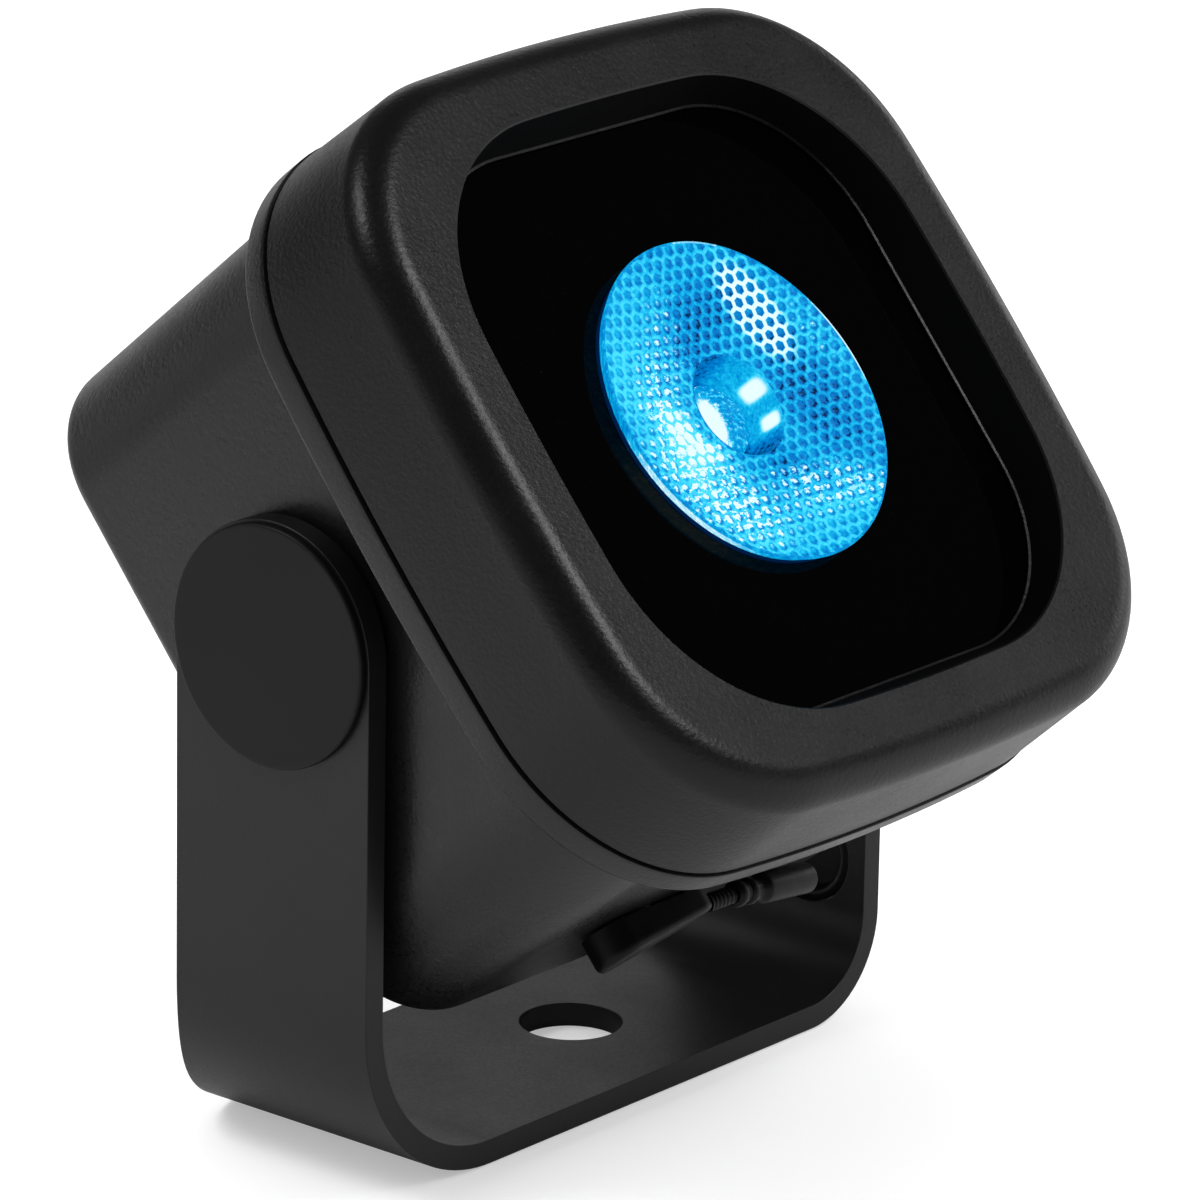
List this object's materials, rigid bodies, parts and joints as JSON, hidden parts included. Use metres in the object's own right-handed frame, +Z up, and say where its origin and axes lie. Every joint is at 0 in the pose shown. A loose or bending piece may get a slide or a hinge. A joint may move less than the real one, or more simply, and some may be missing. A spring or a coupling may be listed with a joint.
{
  "type": "par can light",
  "caption": "Small square LED par light with one round lens, held by friction pivots in a U-shaped floor bracket so the head tilts.",
  "frame": {"origin": "middle of the bracket's width and of its arms' depth, on the underside of the bracket's base", "axes": "+Z up, -Y towards the lamp's front, +X towards the bracket arm with the cable hole"},
  "size_m": [0.0978, 0.1049, 0.1283],
  "materials": {
    "bracket_paint": "satin fine-textured charcoal powder coat on steel sheet",
    "cap_paint": "smooth matte black",
    "housing_paint": "moulded black with an orange-peel grain",
    "cover_paint": "moulded black with a fine sand grain",
    "window_black": "polished black",
    "lens_acrylic": "clear acrylic, lit azure from behind",
    "black_rubber": "matte moulded",
    "zinc_steel": "zinc plated",
    "brass": "turned",
    "plain_aluminium": "extruded, plain",
    "holder_plastic": "moulded black",
    "emitter_resin": "clear resin over phosphor",
    "white_board": "white solder mask",
    "green_board": "green solder mask",
    "capacitor_can": "sleeved can",
    "copper_wire": "enamelled copper winding"
  },
  "bodies": {
    "bracket": {"yoke_bracket": "bracket_paint", "pivot_cap_left": "cap_paint", "pivot_cap_right": "cap_paint", "friction_washer_left": "black_rubber", "friction_washer_right": "black_rubber"},
    "lamp_head": {"pivot_bolt_left": "zinc_steel", "pivot_bolt_right": "zinc_steel", "pivot_insert_left": "brass", "pivot_insert_right": "brass", "rear_housing": "housing_paint", "front_cover": "cover_paint", "cover_screw_1": "zinc_steel", "cover_screw_2": "zinc_steel", "cover_screw_3": "zinc_steel", "cover_screw_4": "zinc_steel", "seam_gasket": "black_rubber", "window_panel": "window_black", "collimator_lens": "lens_acrylic", "lens_holder": "holder_plastic", "led_emitter": "emitter_resin", "led_board": "white_board", "led_board_screw_1": "zinc_steel", "led_board_screw_2": "zinc_steel", "heat_sink": "plain_aluminium", "driver_board": "green_board", "driver_capacitor": "capacitor_can", "driver_inductor": "copper_wire", "board_standoff_1": "brass", "board_standoff_2": "brass", "board_standoff_3": "brass", "board_standoff_4": "brass", "lead_outlet": "black_rubber", "outlet_nut": "zinc_steel", "lead_neck": "black_rubber", "inline_socket": "black_rubber", "socket_contact": "zinc_steel"}
  },
  "joints": [
    {"name": "head_tilt", "type": "hinge", "parent": "bracket", "child": "lamp_head", "pos_m": [0, 0, 0.0656], "axis": [-1, 0, 0], "range_deg": [-44, 140]}
  ]
}
